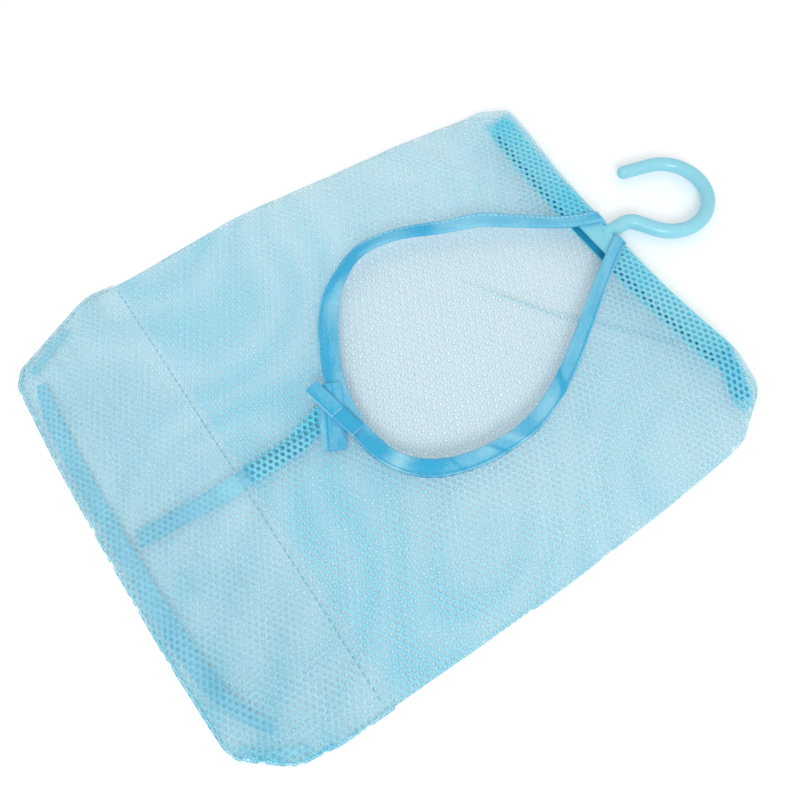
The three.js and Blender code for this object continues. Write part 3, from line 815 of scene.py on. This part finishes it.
def tapePiece(name, nodes, path, out, run, section, rise=None, aside=None, tone=None):
    # each point of the outline goes out across the tape and up from the net, rise adds waves
    across = np.broadcast_to(section[None, :, 0], (len(path), len(section)))
    lift = np.broadcast_to(section[None, :, 1], across.shape)
    marks = {"tone": tone(run[:, None], across)} if tone else None
    if aside is not None:
        across = across + aside(run[:, None], across)
    if rise is not None:
        lift = lift + rise(run[:, None], across)
    points = onFront(keepIn(path[:, None] + out[:, None] * across[..., None]), lift)
    rows, columns = across.shape
    sides = np.linalg.norm(np.diff(section, axis=0, append=section[:1]), axis=1)
    around = np.concatenate([[0], np.cumsum(sides)])
    i, j = np.meshgrid(np.arange(rows - 1), np.arange(columns), indexing="ij")
    quad = ((0, 0), (0, 1), (1, 1), (1, 0))
    uv = np.stack([np.stack([run[i + a], around[j + b]], -1) for a, b in quad], -2)
    ends = [np.arange(columns)[None, ::-1], ((rows - 1) * columns + np.arange(columns))[None]]
    return addPiece(name, points, [gridFaces(rows, columns), *ends], "tape", nodes,
                    uv=[uv * mm, section[::-1] * mm, section * mm], sharp=50, marks=marks)


binding = dict(
    width=9.8, thick=0.6, gap=1.5, low=-1.8,
    stitchIn=1.4, puckerLength=6.5, pucker=0.12, groove=0.2,  # the seam, in from the free edge
    # mm along the mouth and the folded width there
    widths=[(0, 7.4), (40, 7.8), (80, 8.4), (120, 8.8), (180, 9.4), (230, 9.8), (285, 11.2), (300, 10.0),
            (318, 7.0), (342, 6.8), (360, 6.8), (385, 7.6), (405, 8.2), (425, 7.8), (445, 7.0), (475, 6.8)],
    pivot=5.0,  # mm from the fold, where slants are measured from
    # mm along, height, slant, spread of the creases
    creases=[(102, 0.5, 0.9, 1.4), (141, 0.45, -0.7, 1.6), (152, 0.3, -0.7, 1.1), (172, 0.35, -0.6, 1.2),
             (311, 0.4, 0.5, 2.0), (329, -0.35, 0.3, 5.0)],
    # mm along, spread, slant, how much paler or deeper: painted sheen and shade where the satin bends
    patches=[(102, 2.6, 0.9, -0.5), (117, 8, 0.4, 0.28), (131, 6, 0, -0.22), (141, 2.6, -0.7, 0.42),
             (151, 1.3, -0.7, -0.42), (156, 5, 0, 0.22), (172, 1.0, -0.6, -0.3), (184, 9, 0, -0.32),
             (198, 3.5, 0, 0.42), (211, 7, 0, -0.42), (262, 9, 0.3, -0.12), (296, 9, 0.6, 0.12),
             (310, 4, 0.6, 0.1), (326, 12, 0.2, -0.4), (370, 9, 0.2, -0.28), (391, 14, 0, 0.18),
             (36, 16, 0, 0.1)],
    overlap=(203, 256, 0.4),  # from, to, height: the two ends of the tape lie over each other
    bend=(312, 12),  # past it the seam faces the light, and its painted shade turns to painted sheen
)


def bindingWidth(run):
    return np.interp(run, *np.array(binding["widths"], float).T)


def bindingWaves(run, across):
    # puckers along the stitching, slanting creases, and a step where the tape's ends overlap
    s = binding
    seam = bindingWidth(run) - s["stitchIn"]
    wave = s["pucker"] * hump(across - seam, 2.2) * np.sin(
        2 * math.pi * run / s["puckerLength"] + 0.8 * np.sin(run / 19))
    wave = wave + 0.10 * np.sin(run / 13 + across / 3) - s["groove"] * hump(across - seam, 0.45)
    for at, height, slant, spread in s["creases"]:
        crease = hump(run - at - slant * (across - s["pivot"]), spread)
        wave = wave + height * crease * smoothStep(across / 3)
    start, end, step = s["overlap"]
    return wave + step * ramp(run, start, 0.8) * fall(run, end, 0.8)


def bindingTone(run, across):
    # painted sheen and shade: patches where the satin bends, and a line along the stitching and a lip
    # outside it
    s = binding
    tone = np.zeros(np.broadcast(run, across).shape)
    for at, spread, slant, amount in s["patches"]:
        tone = tone + amount * hump(run - at - slant * (across - s["pivot"]), spread)
    fromEdge = s["width"] - across
    tone = tone - 0.22 * ramp(across, 4, 2) * ramp(run, 240, 15) * fall(run, 345, 15)
    turned = ramp(run, *s["bend"])  # painted light: line and lip swap between paler and deeper as the tape turns to the light
    seam = hump(fromEdge - s["stitchIn"], 0.45)
    lip = 1 - ramp(fromEdge, 0.3, 0.8)
    fold = 1 - smoothStep(across / 4)
    return tone + (1.1 * turned - 0.5) * seam + (0.2 - 0.4 * turned) * lip + 0.1 * fold - 0.54


def bindingAside(run, across):  # the section is drawn in to the width at each place
    return across * (bindingWidth(run) / binding["width"] - 1)


bindingTape = tapePiece("opening_binding_tape", ["opening_binding"], mouthPath, mouthOut, mouthRun,
                        foldedTape(binding), bindingWaves, bindingAside, bindingTone)


def straightLine(centre, length, degrees, step=0.8):
    # points along a straight line through centre, with the direction across it
    c, d = heading(degrees)
    t = np.linspace(-length / 2, length / 2, int(length / step) + 1)
    path = np.array(centre) + t[:, None] * [c, d]
    return path, np.broadcast_to([[d, -c]], path.shape), t + length / 2


# The crossed ends below the mouth: a tab over a tail, both folded lengthwise
tab = dict(length=35.0, width=8.4, heading=10.0, thick=0.5, gap=0.35, low=2.75, centre=(0.4, 129.6),
           tackAt=19.5, tackRun=2.0, tackDip=0.4, ripple=0.1,
           nearEnd=(12, 12), nearLift=0.5, farEnd=(30, 7), farLift=0.3, edgeSpan=(5, 3.4), edgeLift=0.35)
tail = dict(length=37.0, width=9.2, under=12.4, heading=-29.0, thick=0.45, gap=0.2, low=1.35,
            centre=(3.8, 127.8), ripple=0.12, corner=(26, 11), cornerLift=0.5)


def tailRise(run, across):  # soft ripples, and the lower left corner lifts
    s = tail
    corner = s["cornerLift"] * ramp(run, *s["corner"]) * across / 9
    return s["ripple"] * np.sin(run / 4 + across / 3) + corner


def tailTone(run, across):  # the under leaf is a paler strip past the upper leaf, whose edge has a painted shade line; a painted crease shade runs along its first 16 mm
    past = across - tail["width"]
    return (0.18 * ramp(past, 0, 0.3) - 0.3 * hump(past + 0.25, 0.4)
            - 0.25 * hump(across - 4.6 - run / 30, 0.35) * fall(run, 16, 4) - 0.6)


def tabRise(run, across):  # pressed down by the tack, both ends and the free edge stand up
    s = tab
    return (s["ripple"] * np.sin(run / 3.4) - s["tackDip"] * hump(run - s["tackAt"], s["tackRun"])
            + s["nearLift"] * fall(run, *s["nearEnd"]) + s["edgeLift"] * ramp(across, *s["edgeSpan"])
            + s["farLift"] * ramp(run, *s["farEnd"]))


def tabTone(run, across):  # painted highlight along the free edge and the right end with a painted shade line inside the edge, deeper past the tack
    fromEdge = tab["width"] - across
    return (0.55 * hump(fromEdge - 0.3, 0.4) - 0.45 * hump(fromEdge - 1.15, 0.35)
            - 0.28 * ramp(run, tab["tackAt"], 1.5) + 0.6 * ramp(run, tab["length"] - 0.9, 0.5)
            + 0.1 * fall(run, tab["tackAt"], 4) - 0.75)


def crossedTape(name, node, s, rise, tone):
    line, across, run = straightLine(s["centre"], s["length"], s["heading"])
    return tapePiece(name, [node], line - across * s["width"] / 2, across, run, foldedTape(s), rise,
                     tone=tone)


tailTape = crossedTape("binding_tail_tape", "binding_tail", tail, tailRise, tailTone)
tabTape = crossedTape("binding_tab_tape", "binding_tab", tab, tabRise, tabTone)

# Tapes inside the bag, under the front net
seams = dict(
    thick=0.6, low=-1.6, step=1.5, wave=0.15,
    taper=[(0, 0.6), (25, 1.0), (180, 1.0), (205, 0.7), (240, 0.25)],  # mm along the bottom, share
    tones={"bottom_seam_tape": -0.05, "top_corner_tape": -0.85}, paleTone=0.9,
)


def curveThrough(points, step):  # smooth curve by a few points: corners are cut again and again
    pts = np.array(points, float)
    for _ in range(4):
        pts = np.concatenate([pts[:1], cutCorners(pts[:-1], pts[1:], 0.25), pts[-1:]])
    path, run = evenly(pts, step)
    return path, -outward(path), run


def seamTone(node):  # deeper or paler, as it is seen through one net or two
    if node == "centre_seam_tape":
        return lambda run, across: -0.1 - 0.5 * fall(run, 60, 5) + 0.5 * hump(run - 67, 6) + 0 * across
    return lambda run, across: seams["tones"].get(node, seams["paleTone"]) + 0 * run + 0 * across


def bottomTaper(run, across):
    return across * (np.interp(run, *np.array(seams["taper"]).T) - 1)


for node, (points, width) in seamTapes.items():
    tapePiece(
        node.replace("_tape", "_binding"), [node], *curveThrough(points, seams["step"]),
        flatTape(width, seams["thick"], seams["low"]), lambda run, across: seams["wave"] * np.sin(run / 7),
        bottomTaper if node == "bottom_seam_tape" else None, seamTone(node))
print("tapes sewn on")


# Stitches: a row of short thread capsules that dip at both ends, sizes in mm
stitches = dict(
    binding=dict(lift=0.85, length=2.0, pitch=2.9, width=0.6, thick=0.5),
    turnUp=dict(lift=1.45, length=2.9, pitch=4.1, width=0.75, thick=0.6),
    centre=dict(lift=0.1, length=2.2, pitch=3.4, width=0.6, thick=0.5),
    tack=dict(lift=3.95, length=1.35, pitch=1.7, width=0.7, thick=0.6),
)
# shares of half the length and width
capsule = dict(along=[-0.93, -0.6, 0.0, 0.6, 0.93], radius=[0.45, 0.85, 1.0, 0.85, 0.45],
               dip=0.55, sides=6)


def stitchPiece(name, nodes, path, run, s, finish=None):
    # one capsule for each pitch along the line, thinner at its ends and arched up
    rows, sides = len(capsule["along"]), capsule["sides"]
    along = np.arange(s["pitch"] / 2, run[-1], s["pitch"])
    behind, centre, ahead = (np.stack([np.interp(along + e, run, path[:, k]) for k in (0, 1)], -1)
                             for e in (-0.3, 0, 0.3))
    level = np.full(len(along), s["lift"])
    way = unit(onFront(ahead, level) - onFront(behind, level))
    normal = unit(onFront(centre, level + 1) - onFront(centre, level))
    side = np.cross(normal, way)
    turn = np.radians(np.arange(sides) * 60 + 30)
    share = np.concatenate([np.repeat(capsule["along"], sides), [-1.0, 1.0]])
    forward = share * s["length"] / 2
    sideways, upward = (
        np.concatenate([np.outer(capsule["radius"], wave(turn)).ravel(), [0, 0]]) * size / 2
        for wave, size in ((np.cos, s["width"]), (np.sin, s["thick"])))
    upward = upward - capsule["dip"] * s["thick"] * share ** 2
    points = (onFront(centre, level)[:, None] + way[:, None] * forward[None, :, None]
              + side[:, None] * sideways[None, :, None] + normal[:, None] * upward[None, :, None])
    shift = (np.arange(len(along)) * (rows * sides + 2))[:, None, None]
    return addPiece(name, points.reshape(-1, 3), [(gridFaces(rows, sides) + shift).reshape(-1, 4),
                                                  (endFans(rows, sides) + shift).reshape(-1, 3)],
                    "thread", nodes, finish=finish)


stitchOut = bindingWidth(mouthRun) * (1 - binding["stitchIn"] / binding["width"])
bindingSeam = keepIn(mouthPath + mouthOut * stitchOut[:, None])
bindingStitch = stitchPiece("binding_stitches", ["binding_stitch"], bindingSeam, mouthRun,
                            stitches["binding"])
turnUpLine, _, turnUpRun = curveThrough([(-131, 72.5), (-60, 71.5), (0, 70.5), (60, 69.5), (131, 68)], 1.0)
turnUpStitch = stitchPiece("turn_up_stitches", ["turn_up_stitch"], turnUpLine, turnUpRun,
                           stitches["turnUp"])
centreLine, _, centreRun = curveThrough([(2.8, 118), (3.0, 74)], 1.0)
centreStitch = stitchPiece("centre_seam_stitches", ["centre_seam_stitch"], centreLine, centreRun,
                           stitches["centre"])
tackAt = straightLine(tab["centre"], 2 * tab["tackAt"] - tab["length"], tab["heading"])[0][-1]
tackLine, _, tackRun = straightLine(tackAt, tab["width"] - 0.8, tab["heading"] + 90, 0.4)
tabStitch = stitchPiece("tab_stitches", ["tab_stitch"], tackLine, tackRun, stitches["tack"], sheenTack)
print("stitches in")


# Hanger bar: the CAD channel itself with its edges rounded, as moulding leaves them
hangerBar = dict(edge=0.5, segments=3, sharp=40, inward=0.3)


def barPiece(s):
    shell = bmesh.new()
    shell.from_mesh(frame["nodes"]["hanger_bar"].data)
    bmesh.ops.remove_doubles(shell, verts=shell.verts, dist=1e-6)
    bmesh.ops.dissolve_limit(shell, angle_limit=math.radians(0.5), verts=shell.verts, edges=shell.edges)
    barMesh = bpy.data.meshes.new("hanger_bar_moulding")
    shell.to_mesh(barMesh)
    shell.free()
    # faces that look towards the middle of the channel are its inside, painted deeper as shade within the
    # channel
    count = len(barMesh.polygons)
    middle, normal = np.zeros(count * 3), np.zeros(count * 3)
    barMesh.polygons.foreach_get("center", middle)
    barMesh.polygons.foreach_get("normal", normal)
    middle, normal = middle.reshape(-1, 3) / mm, normal.reshape(-1, 3)
    fromHook = middle[:, 0] - hangerX
    coreY = barLine["middle"] + bottomY / mm + barLine["bow"] * (fromHook / barLine["reach"]) ** 2
    core = np.stack([hangerX + 0.9 * fromHook, coreY, np.full(count, axisZ)], -1)
    inside = barMesh.attributes.new("inside", "FLOAT", "FACE")
    inside.data.foreach_set("value", (((core - middle) * normal).sum(1) > s["inward"]).astype(np.float32))
    piece = enterPiece("hanger_bar_moulding", barMesh, "plastic", ["hanger_bar"], sharp=s["sharp"],
                       finish=deepPlastic)
    rounded = piece.modifiers.new("rounded edges", "BEVEL")
    rounded.width = s["edge"] * mm
    rounded.segments = s["segments"]
    rounded.limit_method = "ANGLE"
    rounded.angle_limit = math.radians(s["sharp"])


barPiece(hangerBar)

# Hook: a tapering round rod bent in a plane, on a spigot, neck and head that turn in the bar
hookRod = dict(
    stem=4.4, tip=3.9, straight=9.5, bend=9.0, bendAngle=58.0, loop=24.2, loopEnd=163.0, tipRun=16.0,
    flare=0.25, flareRun=2.5, stemRound=0.3, step=0.9, sides=40,
    clear=0.3, spigot=3.8, spigotRun=2.2, spigotRound=0.2, collar=2.8, web=2.4,
    neck=2.2, head=2.9, headRun=2.0, headRound=0.3, headLow=2.5, headHigh=2.6,
)


def hookPiece(s):
    # stem, one bend to the right, a straight run, a wide loop to the left and a straight end
    collarTop = (swivelAt[1] - bottomY) / mm
    start = collarTop + s["clear"]
    turn = math.radians(s["bendAngle"])
    c, d = heading(s["bendAngle"])
    t = np.linspace(0, turn, 40)
    bendMid = np.array([hangerX + s["bend"], start + s["straight"]])
    bendArc = bendMid + s["bend"] * np.stack([-np.cos(t), np.sin(t)], -1)
    span = (hangerX + s["loop"] * c - bendArc[-1, 0]) / d
    loopMid = bendArc[-1] + span * np.array([d, c]) - s["loop"] * np.array([c, -d])
    b = np.linspace(-turn, math.radians(s["loopEnd"]), 160)
    loopArc = loopMid + s["loop"] * np.stack([np.cos(b), np.sin(b)], -1)
    tipEnd = loopArc[-1] + np.array([-math.sin(b[-1]), math.cos(b[-1])]) * s["tipRun"]
    path, run = evenly(np.concatenate([[[hangerX, start]], bendArc, loopArc, [tipEnd]]), s["step"])
    radius = s["stem"] + (s["tip"] - s["stem"]) * run / run[-1] + s["flare"] * hump(run, s["flareRun"])
    way = unit(np.gradient(path, axis=0))
    # the end is a half ball
    cap = np.linspace(0, math.pi / 2, 12)[1:-1]
    pole = path[-1] + way[-1] * s["tip"]
    path = np.concatenate([path, path[-1] + way[-1] * s["tip"] * np.sin(cap)[:, None]])
    radius = np.concatenate([radius, s["tip"] * np.cos(cap)])
    way = np.concatenate([way, np.repeat(way[-1:], len(cap), 0)])
    # below the stem the rings go on as shoulder, spigot, neck and head
    headTop = collarTop - s["collar"] - s["web"] - s["clear"]
    headEnd = headTop - s["headRun"]
    spigotLow = collarTop - s["spigotRun"] + s["clear"]
    shank = [(headEnd, s["headLow"]), (headEnd + s["headRound"], s["head"]),
             (headTop - s["headRound"], s["head"]), (headTop, s["headHigh"]), (headTop, s["neck"]),
             (spigotLow, s["neck"]), (spigotLow, s["spigot"] - s["spigotRound"]),
             (spigotLow + s["spigotRound"], s["spigot"]), (start, s["spigot"]),
             (start, s["stem"] + s["flare"] - s["stemRound"])]
    path[0, 1] += s["flare"]  # the stem's lower edge is rounded
    path = np.concatenate([[(hangerX, y) for y, _ in shank], path])
    radius = np.concatenate([[r for _, r in shank], radius])
    way = np.concatenate([np.tile([[0.0, 1.0]], (len(shank), 1)), way])
    a = np.linspace(0, 2 * math.pi, s["sides"], endpoint=False)
    side = np.stack([way[:, 1], -way[:, 0]], -1)
    flat = path[:, None] + side[:, None] * (radius[:, None] * np.cos(a))[..., None]
    height = axisZ + radius[:, None] * np.sin(a)
    points = np.concatenate([np.concatenate([flat, height[..., None]], -1).reshape(-1, 3),
                             [[*path[0], axisZ], [*pole, axisZ]]])
    faceSets = [gridFaces(len(path), s["sides"]), endFans(len(path), s["sides"])]
    addPiece("hook_rod", points, faceSets, "plastic", ["hook"], body="hook", sharp=40)


hookPiece(hookRod)
print("bar and hook moulded")

# Stage: white table, even white surroundings and one broad soft lamp
stage = dict(worldLight=0.75, lampPower=56.0, lampSize=1.25, lampAt=(2.4, -1.9, 2.5),
             floorTone="f8f8f8", lift=0.16, floorZ=-0.0004)
table = bpy.data.meshes.new("table")
tableCorners = [(x, y, stage["floorZ"]) for x, y in ((-1, -1), (1, -1), (1, 1), (-1, 1))]
table.from_pydata(tableCorners, [], [(0, 1, 2, 3)])
tableObject = addObject("table", table)


def seenRays(tree):  # 1 for what the camera sees, straight, mirrored or through something clear
    rays = addNode(tree, "ShaderNodeLightPath")
    kinds = [rays.outputs[f"Is {kind} Ray"] for kind in ("Camera", "Glossy", "Transmission")]
    two = addNode(tree, "ShaderNodeMath", links={0: kinds[0], 1: kinds[1]}, operation="MAXIMUM")
    return addNode(tree, "ShaderNodeMath", links={0: two, 1: kinds[2]}, operation="MAXIMUM")


paper, paperTree = newFinish("whitePaper")
matt = addNode(paperTree, "ShaderNodeBsdfDiffuse", {"Color": toLinear(stage["floorTone"])})
seen = addNode(paperTree, "ShaderNodeMath", {1: stage["lift"]}, {0: seenRays(paperTree)},
               operation="MULTIPLY")
glare = addNode(paperTree, "ShaderNodeEmission", {"Color": (1, 1, 1, 1)}, {"Strength": seen})
both = addNode(paperTree, "ShaderNodeAddShader", links={0: matt, 1: glare})
addNode(paperTree, "ShaderNodeOutputMaterial", links={"Surface": both})
table.materials.append(paper)

world = bpy.data.worlds.new("surroundings")
world.use_nodes = True
bpy.context.scene.world = world
sky = world.node_tree
sky.nodes.clear()
level = addNode(sky, "ShaderNodeMapRange", {"To Min": stage["worldLight"], "To Max": 1.0},
                {"Value": seenRays(sky)})
glowing = addNode(sky, "ShaderNodeBackground", {"Color": (1, 1, 1, 1)}, {"Strength": level})
addNode(sky, "ShaderNodeOutputWorld", links={"Surface": glowing})

lamp = bpy.data.lights.new("soft lamp", "AREA")
lamp.energy = stage["lampPower"]
lamp.size = stage["lampSize"]
lampWay = unit(np.array(stage["lampAt"]))
lampSide = unit(np.cross([0, 0, 1], lampWay))
lampObject = addObject("soft lamp", lamp)
lampObject.matrix_world = turnedTo(lampSide, np.cross(lampWay, lampSide), lampWay, stage["lampAt"])
bpy.context.scene.view_settings.view_transform = "Standard"
# light passes up to three see-through nets, down and up, and goes to and fro between their pale yarns
bpy.context.scene.cycles.transparent_max_bounces = 32
bpy.context.scene.cycles.diffuse_bounces = 10
bpy.context.scene.cycles.max_bounces = 14
print("stage lit")
